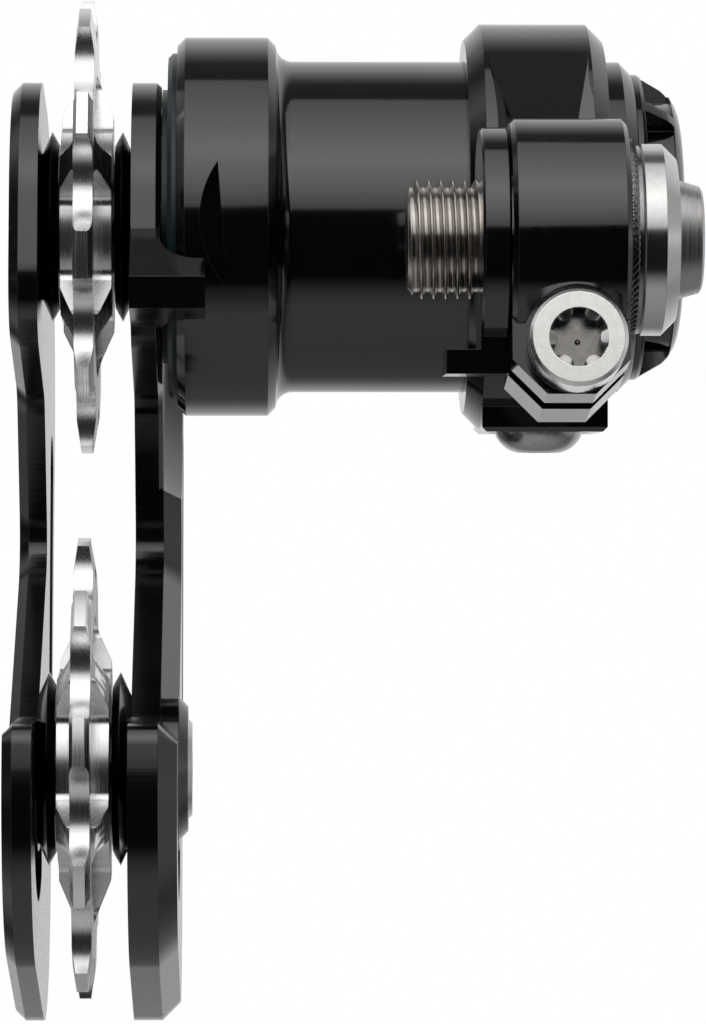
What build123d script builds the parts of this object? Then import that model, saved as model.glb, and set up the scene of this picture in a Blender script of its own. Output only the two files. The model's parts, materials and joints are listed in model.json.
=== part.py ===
from build123d import *
import os
from math import asin, atan2, cos, degrees, pi, radians, sin

# Bicycle chain tensioner: a sprung cage with two toothed pulleys swings on a cylindrical
# spring housing, and a clamp knuckle hangs the housing from the frame's derailleur hanger.
#
# Frame, in millimetres: the origin lies on the hanger bolt's axis, on the face that seats
# against the hanger. +X points outboard, +Z up and +Y forward. The cage pivot is parallel to X.

# Fits shared by the whole assembly
PRESS_GAP = 0.02      # radial room between pieces that stay together
RUNNING_GAP = 0.05    # radial room of a shaft that turns in its bore
AXIAL_PLAY = 0.10     # room between flat faces that turn on each other
EDGE = 0.4            # small broken edge on turned and milled pieces
OVERRUN = 1.0         # how far a cutter runs past the face that it opens

# Hanger bolt, stop plate and lock washer
HANGER_THREAD_D = 10.0
HANGER_THREAD_LENGTH = 6.0
THREAD_LEAD_IN = 0.8
HANGER_SHANK_D = 11.0     # plain part inside the knuckle
STOP_PLATE_R = 9.35
STOP_PLATE_T = 2.35
STOP_FLAT_ANGLE = 36.0    # half the arc that the flat beside the knuckle's ring cuts off
STOP_EDGE = 0.2
STOP_TAB_DROP = 9.25      # bolt axis to the top of the tab
STOP_TAB_T = 2.05
STOP_TAB_WIDTH = 9.0
STOP_TAB_REACH = 2.85     # how far the tab stands inboard of the hanger seat
LOCK_WASHER_T = 1.0
LOCK_WASHER_R = 8.4
BOLT_FLANGE_R = 8.0
BOLT_FLANGE_T = 3.1
BOLT_FLANGE_CHAMFER = 1.2
BOLT_BOSS_R = 5.05        # where the boss leaves the flange
BOLT_BOSS_END_R = 4.35
BOLT_BOSS_T = 2.2
BOLT_SOCKET_FLATS = 5.0
BOLT_SOCKET_DEPTH = 6.0

# Clamp knuckle: a ring round the housing joined to a split boss round the hanger bolt
BOSS_R = 10.1
BOSS_WIDTH = 9.7
PIVOT_BACK = 27.0         # hanger bolt axis to pivot axis, along Y
PIVOT_RISE = 2.5          # and along Z
RING_WALL = 3.25
RING_WIDTH = 12.1
RING_INSET = 2.65         # ring's inboard face, measured inboard of the boss's
RING_CHAMFER = 1.4
WEB_TOP = 8.2
WEB_BOTTOM = 7.4
PINCH_TILT = 8.5          # the pinch screw's head looks up by this angle, in degrees
PINCH_DROP = 9.95         # bolt axis to pinch screw axis
PINCH_OFFSET = 0.4        # pinch screw outboard of the boss's middle
EAR_SIDES = 8
EAR_FLATS = 9.7           # across the ears' flats
EAR_RISE = 0.75           # ears' middle above the pinch screw
FRONT_EAR = 4.4
REAR_EAR = 6.6
SLIT = 3.0
PINCH_SCREW_D = 5.0
PINCH_HEAD_D = 8.1
PINCH_HEAD_H = 3.6
HEAD_EDGE = 0.3
PINCH_SOCKET_D = 4.7
PINCH_RIB_R = 0.9         # ribs between the socket's six lobes
PINCH_RIB_DEPTH = 0.6
PINCH_SOCKET_DEPTH = 2.6
HEAD_ROOM = 0.5           # counterbore radius beyond the head's
SCREW_ROOM = 0.25         # clearance hole's radius beyond the screw's
PAD_LENGTH = 16.0         # flat pad under the ring, along Y
PAD_PROUD = 0.3           # pad below the ring's rim
LOCK_OFFSET = 0.7         # lock screw outboard of the ring's middle
LOCK_SCREW_D = 5.0
LOCK_HEAD_D = 8.0
LOCK_HEAD_TOP_D = 3.7
LOCK_HEAD_H = 2.25
LOCK_HEAD_BULGE = 0.5     # dome's rise over a straight cone
LOCK_HEAD_SINK = 0.5
LOCK_SOCKET_FLATS = 3.0
LOCK_SOCKET_DEPTH = 1.6
LOCK_DOG = 1.3            # how far the lock screw's end enters the housing's slot

# Spring housing, on the pivot axis
HOUSING_R = 14.6
FLANGE_R = 16.7
FLANGE_X = -25.35         # inboard face
FLANGE_WIDTH = 7.9
FLANGE_CHAMFER = 0.7
FLANGE_FILLET = 1.6
HOUSING_END_X = 14.55
HOUSING_END_CHAMFER = 1.1
HOUSING_WALL = 3.2
HOUSING_FLOOR = 6.9       # thickness of the inboard wall that holds the bush
CHAINLINE_TRAVEL = 3.0    # the housing slides this far each way in the ring
SLOT_ROOM = 0.15          # side room of the lock screw in the housing's slot
SCALLOP_R = 8.6           # leaf-shaped scoop in the flange
SCALLOP_DEPTH = 2.2
SCALLOP_WIDTH = 1.9
SCALLOP_DROP = 0.6        # scoop's middle below the pivot axis
SCALLOP_LEAN = 4.0        # degrees, the top leaning inboard
CAP_SPIGOT = 9.0
CAP_HEIGHT = 4.6
CAP_LIP_T = 0.45          # straight rim beside the housing
CAP_CONE_H = 2.7          # where the cone meets the rounded shoulder
CAP_CONE_R = 12.2
CAP_SHOULDER_BULGE = 0.4
CAP_FACE_R = 9.1          # the end face rises from here to its crown
CAP_FACE_RISE = 0.4
CAP_CROWN_R = 4.5
CAP_POCKETS = 8           # spanner pockets round the cone
CAP_POCKET_R = 11.0       # pocket floor
CAP_POCKET_START = 0.75   # from the housing's end
CAP_POCKET_WIDTH = 2.6
CAP_POCKET_SPAN = 39.0    # degrees
CAP_POCKET_ANGLE = 18.0   # first pocket's middle, back from the top

# Pivot shaft, bushes, spring and stop
SHAFT_D = 10.0
SHAFT_FLATS = 8.4
SHAFT_TAIL = 3.0          # shaft past the outboard bush
BUSH_WALL = 1.5
BUSH_FLANGE_R = 8.0
OUTER_BUSH_LENGTH = 5.0
CIRCLIP_T = 1.0
CIRCLIP_R = 6.6
CIRCLIP_GROOVE = 0.6
CIRCLIP_OPENING = 5.0
CIRCLIP_ROOM = 0.5        # shaft's end to the cap's pocket
SPRING_WIRE_D = 2.4
SPRING_ROOM = 1.7         # coil to the housing's wall
SPRING_TURNS = 5
SPRING_TANG = 2.0
COLLAR_T = 3.0
COLLAR_ROOM = 0.8         # collar's rim to the housing's wall
SEAL_OUTER_R = 15.3
SEAL_INNER_R = 11.3
SEAL_LIP_R = 12.1
SEAL_LIP = 0.5            # lip's height over the seal's disc
DOWEL_D = 3.0
DOWEL_ORBIT_R = 9.65
DOWEL_SEAT = 4.5
STOP_ANGLE = 95.0         # dowel's place in the cage's own frame, at rest
SWING = 90.0              # cage travel, in degrees

# Cage plates: drawn in the cage's own frame, pivot at the origin, pulley line along -Z
CAGE_TILT = 10.7          # lower pulley swung back from straight down, at rest
CAGE_LENGTH = 48.3        # between the pulley axes
CAGE_GAP = 8.0
CARRIER_RUN_GAP = 1.4     # housing flange to the carrier plate
CARRIER_THIN = 2.55       # where the carrier plate passes the housing flange
CARRIER_T = 4.15
CARRIER_BEVEL = 1.6
RECESS_R = 24.8
INNER_PLATE_T = 2.5
INNER_PLATE_CHAMFER = 0.85
LOBE_R = 12.7             # round end at the pivot
LOWER_LOBE_R = 17.5       # round the lower pulley
BACK_EDGE = 36.0          # pulley line to the back edge
TOP_BACK_R = 26.0
HEEL_R = 14.0             # lower back corner
HEEL_BACK = 29.0
HEEL_DROP = 22.1          # heel below the lower pulley's axis
TOE_RISE = 6.2            # toe's rise over the heel, so that the lower edge climbs forward
LEDGE_RISE = 1.3          # ledge tip above the lower pulley's axis
LEDGE_ROOT = (-3.0, 3.85)     # inner end of the ledge, from the lower pulley's axis
BAY_APEX = (16.8, -26.3)      # deepest point of the bay between the lobes
BAY_TOP = (7.2, -14.0)        # where the bay meets the upper lobe's underside
UNDERSIDE = 11.9              # upper lobe's underside, below the pivot at its front
UNDERSIDE_R = 6.35
BAY_R = 4.0
LEDGE_TIP_R = 2.0
RAIL = 9.5                # width of the rails round the long slot
SLOT_WIDTH = 7.0
SLOT_TOP = -17.0          # slot centres, below the pivot
SLOT_BOTTOM = -44.0
CRESCENT_R = 9.3          # crescent opening round the lower pulley bolt
CRESCENT_WIDTH = 4.4
CRESCENT_SPAN = 92.0
CRESCENT_START = 218.0
NOSE = ((-11.5, -2.0), (-18.0, -8.7), (-17.1, -11.3), (-9.5, -11.3))
LUG_ROOM = 0.6            # lug's underside to the flange's rim
LUG_LENGTH = 3.9
LUG_FILLET = 3.2

# Pulleys and their bearings
CHAIN_PITCH = 12.7
TEETH = 10
TIP_R = 20.05
GULLET_R = 4.3
RIM_WIDTH = 1.7
TIP_WIDTH = 1.0
TIP_CHAMFER = 2.2         # radial height of the narrowed tooth tip
HUB_R = 9.7
HUB_WIDTH = 4.5
WEB_R = 13.2              # where the hub's cone meets the rim
SPOKES = 5
SPOKE_FOOT = 3.8          # spoke's width at the hub
SPOKE_END = 2.1           # and at the rim
WINDOW_IN_R = 8.4         # windows between the spokes
WINDOW_OUT_R = 13.3
WINDOW_CORNER_R = 1.0
UPPER_TOOTH_ANGLE = -9.9  # a tooth's place at rest, from straight back, up positive
LOWER_TOOTH_ANGLE = 9.2
BEARING_BORE_D = 6.0
BEARING_OD = 13.0
BEARING_WIDTH = 4.0
RACE_WALL = 1.1
BALL_D = 2.0
BALLS = 7
SHIELD_T = 0.3
DUST_CAP_R = 8.4          # at the ridge
DUST_CAP_FOOT_R = 6.4     # at the plate
DUST_CAP_RIDGE = 0.3      # straight rim at the ridge
DUST_CAP_BULGE = 0.3      # crown over a straight cone
DUST_CAP_GAP = 0.2        # back face to the hub
UPPER_BOLT_HEAD_R = 5.2
UPPER_BOLT_GRIP = 7.0     # thread in the pivot shaft
BOLT_HEX = 3.0
BOLT_HEX_DEPTH = 1.6
LOWER_BOLT_HEAD_D = 8.8
LOWER_BOLT_HEAD_H = 3.0
LOWER_BOLT_PROUD = 0.35
BOLT_TIP_INSET = 0.2
PULLEY_BOSS_FOOT_R = 6.25
PULLEY_BOSS_R = 5.4
PULLEY_BOSS_H = 0.8

# Places that follow from the sizes above
BOLT_R = HANGER_SHANK_D / 2
THREAD_R = HANGER_THREAD_D / 2
BOSS_X = STOP_PLATE_T + AXIAL_PLAY
BOSS_END_X = BOSS_X + BOSS_WIDTH
BOSS_MID_X = BOSS_X + BOSS_WIDTH / 2
WASHER_X = BOSS_END_X + AXIAL_PLAY
BOLT_FLANGE_X = WASHER_X + LOCK_WASHER_T
BOLT_BOSS_X = BOLT_FLANGE_X + BOLT_FLANGE_T
BOLT_END_X = BOLT_BOSS_X + BOLT_BOSS_T
RING_X = BOSS_X - RING_INSET
RING_END_X = RING_X + RING_WIDTH
LOCK_X = RING_X + RING_WIDTH / 2 + LOCK_OFFSET
RING_BORE_R = HOUSING_R + RUNNING_GAP
RING_R = RING_BORE_R + RING_WALL
CHAMBER_R = HOUSING_R - HOUSING_WALL
CHAMBER_X = FLANGE_X + HOUSING_FLOOR
COLLAR_R = CHAMBER_R - COLLAR_ROOM
SPRING_MEAN_R = CHAMBER_R - SPRING_ROOM - SPRING_WIRE_D / 2
CAP_LIP_R = HOUSING_R - HOUSING_END_CHAMFER
LUG_ROOT_R = FLANGE_R + LUG_ROOM
CARRIER_FACE_X = FLANGE_X - CARRIER_RUN_GAP
CARRIER_X = CARRIER_FACE_X - CARRIER_THIN
CARRIER_OUT_X = CARRIER_X + CARRIER_T
INNER_PLATE_IN_X = CARRIER_X - CAGE_GAP
INNER_PLATE_X = INNER_PLATE_IN_X - INNER_PLATE_T
PULLEY_X = CARRIER_X - CAGE_GAP / 2
SHAFT_R = SHAFT_D / 2
BUSH_R = SHAFT_R + RUNNING_GAP + BUSH_WALL
CAP_X = HOUSING_END_X + PRESS_GAP
OUTER_BUSH_X = CAP_X - CAP_SPIGOT
CIRCLIP_X = OUTER_BUSH_X + OUTER_BUSH_LENGTH + AXIAL_PLAY
SHAFT_END_X = OUTER_BUSH_X + OUTER_BUSH_LENGTH + SHAFT_TAIL
COLLAR_X = CHAMBER_X + AXIAL_PLAY
PITCH_R = CHAIN_PITCH / 2 / sin(pi / TEETH)
BALL_ORBIT_R = (BEARING_BORE_D + BEARING_OD) / 4
PULLEY_BOLT_R = BEARING_BORE_D / 2 - PRESS_GAP
PAD_Z = PIVOT_RISE - RING_R - PAD_PROUD
LOCK_SEAT_Z = PAD_Z + LOCK_HEAD_SINK

AT_PIVOT = Pos(0, PIVOT_BACK, PIVOT_RISE)
CAGE_FRAME = AT_PIVOT * Rot(X=-CAGE_TILT)
AT_LOWER_PULLEY = CAGE_FRAME * Pos(0, 0, -CAGE_LENGTH)
PINCH_FRAME = Pos(BOSS_MID_X, 0, 0) * Rot(X=-PINCH_TILT) * Pos(0, 0, -PINCH_DROP)
AT_PINCH = Pos(PINCH_OFFSET, 0)


def turned(*corners):
    """Solid of revolution about X from (x, radius) corners."""
    return revolve(Plane.XZ * make_face(Polyline(*corners, close=True)), Axis.X)


def tube(x_start, x_end, outer_r, inner_r):
    return turned((x_start, inner_r), (x_end, inner_r), (x_end, outer_r), (x_start, outer_r))


def rod(x_start, x_end, radius, edge=0.0):
    """Solid round bar along X, with both ends chamfered by edge."""
    bar = Pos((x_start + x_end) / 2, 0, 0) * Rot(Y=90) * Cylinder(radius, x_end - x_start)
    return chamfer(bar.edges().filter_by(GeomType.CIRCLE), edge) if edge else bar


def plate(x_start, x_end, sketch):
    """Sheet along X from an outline drawn in (y, z)."""
    return extrude(Plane.YZ.offset(x_start) * sketch, x_end - x_start)


def hexagon(flats):
    return RegularPolygon(flats / 2, 6, major_radius=False)


def hex_socket(x_open, depth, flats):
    """Hexagonal recess along X that opens at x_open; a negative depth runs towards -X."""
    return plate(min(x_open, x_open + depth), max(x_open, x_open + depth), hexagon(flats))


# Hanger mount

def hanger_bolt():
    stud = turned(
        (-HANGER_THREAD_LENGTH, 0),
        (-HANGER_THREAD_LENGTH, THREAD_R - THREAD_LEAD_IN),
        (-HANGER_THREAD_LENGTH + THREAD_LEAD_IN, THREAD_R),
        (0, THREAD_R),
        (0, BOLT_R),
        (BOLT_FLANGE_X, BOLT_R),
        (BOLT_FLANGE_X, BOLT_FLANGE_R),
        (BOLT_BOSS_X - BOLT_FLANGE_CHAMFER, BOLT_FLANGE_R),
        (BOLT_BOSS_X, BOLT_FLANGE_R - BOLT_FLANGE_CHAMFER),
        (BOLT_BOSS_X, BOLT_BOSS_R),
        (BOLT_END_X, BOLT_BOSS_END_R),
        (BOLT_END_X, 0),
    )
    return stud - hex_socket(BOLT_END_X, -BOLT_SOCKET_DEPTH, BOLT_SOCKET_FLATS)


def stop_plate():
    """Washer with a flat beside the ring, and a tab below it, bent inboard to bear on the hanger."""
    disc = rod(0, STOP_PLATE_T, STOP_PLATE_R, STOP_EDGE)
    flat_y = STOP_PLATE_R * cos(radians(STOP_FLAT_ANGLE))
    off_cut = Pos(STOP_PLATE_T / 2, flat_y + STOP_PLATE_R, 0) * Box(
        2 * STOP_PLATE_T, 2 * STOP_PLATE_R, 2 * STOP_PLATE_R
    )
    disc -= Rot(X=degrees(atan2(PIVOT_RISE, PIVOT_BACK))) * off_cut
    tab_bottom = -STOP_TAB_DROP - STOP_TAB_T
    neck = Pos(STOP_PLATE_T / 2, 0, tab_bottom / 2) * Box(STOP_PLATE_T, STOP_TAB_WIDTH, -tab_bottom)
    tab_length = STOP_TAB_REACH + STOP_PLATE_T
    tab = Pos(STOP_PLATE_T - tab_length / 2, 0, -STOP_TAB_DROP - STOP_TAB_T / 2) * Box(
        tab_length, STOP_TAB_WIDTH, STOP_TAB_T
    )
    return disc + neck + tab - rod(-OVERRUN, STOP_PLATE_T + OVERRUN, BOLT_R + PRESS_GAP)


def lock_washer():
    return tube(WASHER_X, BOLT_FLANGE_X, LOCK_WASHER_R, BOLT_R + PRESS_GAP)


# Clamp knuckle

def pinch_prism(start, end, sketch):
    """Prism along the pinch screw, from start to end behind the bolt axis."""
    return PINCH_FRAME * Pos(0, start, 0) * Rot(X=-90) * extrude(sketch, end - start)


def clamp_knuckle():
    ring = AT_PIVOT * turned(
        (RING_X, 0),
        (RING_X, RING_R - RING_CHAMFER),
        (RING_X + RING_CHAMFER, RING_R),
        (RING_END_X - RING_CHAMFER, RING_R),
        (RING_END_X, RING_R - RING_CHAMFER),
        (RING_END_X, 0),
    )
    boss = rod(BOSS_X, BOSS_END_X, BOSS_R, EDGE)
    web_height = WEB_TOP + WEB_BOTTOM
    web_width = min(BOSS_END_X, RING_END_X - RING_CHAMFER) - BOSS_X
    web = Pos(BOSS_X + web_width / 2, PIVOT_BACK / 2, (WEB_TOP - WEB_BOTTOM) / 2) * Box(
        web_width, PIVOT_BACK, web_height
    )
    pad_height = PIVOT_RISE - RING_BORE_R + OVERRUN - PAD_Z
    pad_x = RING_X + RING_CHAMFER
    pad_width = BOSS_END_X - pad_x
    pad = Pos(pad_x + pad_width / 2, PIVOT_BACK, PAD_Z + pad_height / 2) * Box(
        pad_width, PAD_LENGTH, pad_height
    )
    pad = chamfer(pad.faces().sort_by(Axis.Z)[0].edges(), EDGE)
    octagon = RegularPolygon(EAR_FLATS / 2, EAR_SIDES, rotation=180 / EAR_SIDES, major_radius=False)
    ear_front = -FRONT_EAR - SLIT / 2
    ear_back = REAR_EAR + SLIT / 2
    saddle = Pos(0, -PINCH_DROP / 2) * Rectangle(EAR_FLATS, PINCH_DROP)
    ears = pinch_prism(ear_front, ear_back, Pos(0, -EAR_RISE) * octagon + saddle)
    slit_height = PINCH_DROP + EAR_FLATS
    slit_shape = Pos(0, EAR_FLATS - slit_height / 2) * Rectangle(BOSS_WIDTH + 2 * OVERRUN, slit_height)
    slit = pinch_prism(-SLIT / 2, SLIT / 2, slit_shape)
    counterbore = pinch_prism(-3 * BOSS_R, ear_front, AT_PINCH * Circle(PINCH_HEAD_D / 2 + HEAD_ROOM))
    clearance = pinch_prism(ear_front, 0, AT_PINCH * Circle(PINCH_SCREW_D / 2 + SCREW_ROOM))
    thread = pinch_prism(0, ear_back, AT_PINCH * Circle(PINCH_SCREW_D / 2 + PRESS_GAP))
    body = ring + boss + web + ears + pad
    body -= AT_PIVOT * rod(RING_X - OVERRUN, RING_END_X + OVERRUN, RING_BORE_R)
    body -= rod(BOSS_X - OVERRUN, BOSS_END_X + OVERRUN, BOLT_R + RUNNING_GAP)
    body -= slit
    body -= counterbore
    body -= clearance
    body -= thread
    lock_open_z = PAD_Z - OVERRUN
    body -= lock_screw_drill(lock_open_z, LOCK_SEAT_Z, LOCK_HEAD_D / 2 + HEAD_ROOM)
    body -= lock_screw_drill(lock_open_z, PIVOT_RISE, LOCK_SCREW_D / 2 + PRESS_GAP)
    return body


def lock_screw_drill(z_start, z_end, radius):
    """Upright cylinder on the lock screw's axis."""
    return Pos(LOCK_X, PIVOT_BACK, (z_start + z_end) / 2) * Cylinder(radius, z_end - z_start)


def pinch_screw():
    seat = -FRONT_EAR - SLIT / 2
    head = pinch_prism(seat - PINCH_HEAD_H, seat, AT_PINCH * Circle(PINCH_HEAD_D / 2))
    head = chamfer(head.edges().filter_by(GeomType.CIRCLE), HEAD_EDGE)
    shank = pinch_prism(seat, REAR_EAR, AT_PINCH * Circle(PINCH_SCREW_D / 2))
    ribs = PolarLocations(PINCH_SOCKET_D / 2 - PINCH_RIB_DEPTH + PINCH_RIB_R, 6) * Circle(PINCH_RIB_R)
    lobes = Circle(PINCH_SOCKET_D / 2) - ribs
    face = seat - PINCH_HEAD_H
    socket = pinch_prism(face, face + PINCH_SOCKET_DEPTH, AT_PINCH * lobes)
    return head + shank - socket


def housing_lock_screw():
    """Domed screw in the ring's underside whose end keys the housing."""
    rim = (LOCK_HEAD_D / 2, 0)
    crown = (LOCK_HEAD_TOP_D / 2, -LOCK_HEAD_H)
    tip_z = PIVOT_RISE - HOUSING_R + LOCK_DOG
    dome = SagittaArc(rim, crown, LOCK_HEAD_BULGE)
    flats = Polyline(crown, (0, -LOCK_HEAD_H), (0, 0), rim)
    head = revolve(Plane.XZ * make_face([dome, flats]), Axis.Z)
    socket = Pos(0, 0, -LOCK_HEAD_H) * extrude(hexagon(LOCK_SOCKET_FLATS), LOCK_SOCKET_DEPTH)
    place = Pos(LOCK_X, PIVOT_BACK, LOCK_SEAT_Z)
    return place * (head - socket) + lock_screw_drill(LOCK_SEAT_Z, tip_z, LOCK_SCREW_D / 2)


# Spring housing and what stays with it

def spring_housing():
    rim_end = FLANGE_X + FLANGE_WIDTH
    neck_x = rim_end + FLANGE_CHAMFER
    neck_r = FLANGE_R - FLANGE_CHAMFER
    fillet_x = neck_x + FLANGE_FILLET
    fillet_mid = (
        neck_x + FLANGE_FILLET * (1 - cos(pi / 4)),
        neck_r - (neck_r - HOUSING_R) * sin(pi / 4),
    )
    outline = [
        Polyline(
            (FLANGE_X, BUSH_R),
            (FLANGE_X, FLANGE_R - FLANGE_CHAMFER),
            (FLANGE_X + FLANGE_CHAMFER, FLANGE_R),
            (rim_end, FLANGE_R),
            (neck_x, neck_r),
        ),
        ThreePointArc((neck_x, neck_r), fillet_mid, (fillet_x, HOUSING_R)),
        Polyline(
            (fillet_x, HOUSING_R),
            (HOUSING_END_X - HOUSING_END_CHAMFER, HOUSING_R),
            (HOUSING_END_X, CAP_LIP_R),
            (HOUSING_END_X, CHAMBER_R),
            (CHAMBER_X, CHAMBER_R),
            (CHAMBER_X, BUSH_R),
            (FLANGE_X, BUSH_R),
        ),
    ]
    shell = AT_PIVOT * revolve(Plane.XZ * make_face(outline), Axis.X)
    key_length = LOCK_SCREW_D + 2 * SLOT_ROOM + 2 * CHAINLINE_TRAVEL
    key_bottom = PIVOT_RISE - HOUSING_R
    key_depth = LOCK_DOG + SLOT_ROOM + OVERRUN
    keyway = extrude(SlotOverall(key_length, LOCK_SCREW_D + 2 * SLOT_ROOM), key_depth)
    shell -= Pos(LOCK_X, PIVOT_BACK, key_bottom - OVERRUN) * keyway
    shell -= dowel(PRESS_GAP)
    return shell - scallop()


def scallop():
    """Leaf-shaped scoop milled into the flange: a disc's edge seen through a straight side."""
    cutter_back = PIVOT_BACK - FLANGE_R + SCALLOP_DEPTH
    leaf_x = FLANGE_X + FLANGE_WIDTH / 2
    disc = Pos(SCALLOP_R - SCALLOP_WIDTH, 0) * Circle(SCALLOP_R)
    leaf = disc & (Pos(-SCALLOP_R, 0) * Rectangle(2 * SCALLOP_R, 2 * SCALLOP_R))
    place = Pos(leaf_x, cutter_back, PIVOT_RISE - SCALLOP_DROP) * Rot(X=90) * Rot(Z=SCALLOP_LEAN)
    return place * extrude(leaf, 2 * FLANGE_R)


def dowel(room):
    """Stop pin pressed into the flange, on its orbit round the pivot."""
    reach = CARRIER_THIN / 2 + CARRIER_RUN_GAP
    pin = rod(FLANGE_X - reach, FLANGE_X + DOWEL_SEAT, DOWEL_D / 2 + room)
    return CAGE_FRAME * Rot(X=STOP_ANGLE) * Pos(0, DOWEL_ORBIT_R, 0) * pin


def end_cap():
    """Outboard plug of the housing, which also holds the outer bush and hides the circlip."""
    spigot_r = CHAMBER_R - PRESS_GAP
    pocket_x = OUTER_BUSH_X + OUTER_BUSH_LENGTH
    crown_x = CAP_X + CAP_HEIGHT
    pocket_end_x = SHAFT_END_X + CIRCLIP_ROOM
    cone_end = (CAP_X + CAP_CONE_H, CAP_CONE_R)
    face_start = (crown_x - CAP_FACE_RISE, CAP_FACE_R)
    outline = [
        Polyline(
            (crown_x, 0),
            (pocket_end_x, 0),
            (pocket_end_x, CIRCLIP_R + EDGE),
            (pocket_x, CIRCLIP_R + EDGE),
            (pocket_x, BUSH_R),
            (OUTER_BUSH_X, BUSH_R),
            (OUTER_BUSH_X, spigot_r),
            (CAP_X, spigot_r),
            (CAP_X, CAP_LIP_R),
            (CAP_X + CAP_LIP_T, CAP_LIP_R),
            cone_end,
        ),
        SagittaArc(cone_end, face_start, CAP_SHOULDER_BULGE),
        Polyline(face_start, (crown_x, CAP_CROWN_R), (crown_x, 0)),
    ]
    cap = revolve(Plane.XZ * make_face(outline), Axis.X)
    pocket_mouth = Pos(
        CAP_X + CAP_POCKET_START + CAP_POCKET_WIDTH / 2, (CAP_POCKET_R + HOUSING_R) / 2
    ) * Rectangle(CAP_POCKET_WIDTH, HOUSING_R - CAP_POCKET_R)
    pocket = revolve(Plane.XZ * pocket_mouth, Axis.X, CAP_POCKET_SPAN)
    first_pocket = CAP_POCKET_ANGLE - CAP_POCKET_SPAN / 2
    for step in range(CAP_POCKETS):
        cap -= Rot(X=first_pocket + step * 360 / CAP_POCKETS) * pocket
    return AT_PIVOT * cap - spring_tang(OUTER_BUSH_X, 1, PRESS_GAP)


def inner_bush():
    """Flanged bush: the carrier plate runs against its flange."""
    bore_r = SHAFT_R + RUNNING_GAP
    outer_r = BUSH_R - PRESS_GAP
    flange_x = CARRIER_FACE_X + AXIAL_PLAY
    return AT_PIVOT * turned(
        (flange_x, bore_r),
        (flange_x, BUSH_FLANGE_R),
        (FLANGE_X, BUSH_FLANGE_R),
        (FLANGE_X, outer_r),
        (CHAMBER_X, outer_r),
        (CHAMBER_X, bore_r),
    )


def outer_bush():
    end_x = OUTER_BUSH_X + OUTER_BUSH_LENGTH
    return AT_PIVOT * tube(OUTER_BUSH_X, end_x, BUSH_R - PRESS_GAP, SHAFT_R + RUNNING_GAP)


def seal_ring():
    """Chamfered disc with a lip that the carrier plate runs against."""
    lip_x = CARRIER_FACE_X + AXIAL_PLAY
    disc_x = lip_x + SEAL_LIP
    return AT_PIVOT * turned(
        (lip_x, SEAL_INNER_R),
        (lip_x, SEAL_LIP_R),
        (disc_x, SEAL_LIP_R),
        (disc_x, SEAL_OUTER_R - EDGE),
        (disc_x + EDGE, SEAL_OUTER_R),
        (FLANGE_X, SEAL_OUTER_R),
        (FLANGE_X, SEAL_INNER_R),
    )


def stop_dowel():
    return dowel(0)


def spring_tang(x_face, direction, room=0.0):
    """Straight end of the spring, which enters the piece whose face lies at x_face."""
    x_in = x_face + direction * SPRING_TANG
    x_out = x_face - direction * SPRING_WIRE_D / 2
    bar = rod(min(x_in, x_out), max(x_in, x_out), SPRING_WIRE_D / 2 - PRESS_GAP + room)
    return AT_PIVOT * Pos(0, SPRING_MEAN_R, 0) * bar


def torsion_spring():
    """Coil between the shaft's collar and the end cap, with a straight tang at each end."""
    first_x = COLLAR_X + COLLAR_T + SPRING_WIRE_D / 2
    last_x = OUTER_BUSH_X - SPRING_WIRE_D / 2
    pitch = (last_x - first_x) / SPRING_TURNS
    path = Helix(pitch, last_x - first_x, SPRING_MEAN_R)
    section = Plane(path @ 0, z_dir=path % 0) * Circle(SPRING_WIRE_D / 2)
    coil = AT_PIVOT * (Plane.YZ.offset(first_x) * sweep(section, path, is_frenet=True))
    return coil + [spring_tang(COLLAR_X + COLLAR_T, -1), spring_tang(OUTER_BUSH_X, 1)]


# Cage

def spring_collar():
    collar = AT_PIVOT * tube(COLLAR_X, COLLAR_X + COLLAR_T, COLLAR_R, SHAFT_R + PRESS_GAP)
    return collar - spring_tang(COLLAR_X + COLLAR_T, -1, PRESS_GAP)


def shaft_tenon(room):
    """Double-D section that keys the shaft to the carrier plate."""
    return Circle(SHAFT_R + room) & Rectangle(2 * SHAFT_D, SHAFT_FLATS + 2 * room)


def pivot_shaft():
    shaft = rod(CARRIER_FACE_X, SHAFT_END_X, SHAFT_R)
    shaft += plate(CARRIER_X, CARRIER_FACE_X, shaft_tenon(0))
    shaft -= tube(CIRCLIP_X, CIRCLIP_X + CIRCLIP_T + PRESS_GAP, SHAFT_D, SHAFT_R - CIRCLIP_GROOVE)
    shaft -= rod(CARRIER_X - OVERRUN, CARRIER_X + UPPER_BOLT_GRIP + EDGE, BEARING_BORE_D / 2)
    return CAGE_FRAME * shaft


def shaft_circlip():
    ring = tube(CIRCLIP_X, CIRCLIP_X + CIRCLIP_T, CIRCLIP_R, SHAFT_R - CIRCLIP_GROOVE + PRESS_GAP)
    gap = Pos(CIRCLIP_X, CIRCLIP_R, 0) * Box(4 * CIRCLIP_T, 2 * CIRCLIP_R, CIRCLIP_OPENING)
    return CAGE_FRAME * (ring - gap)


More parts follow.
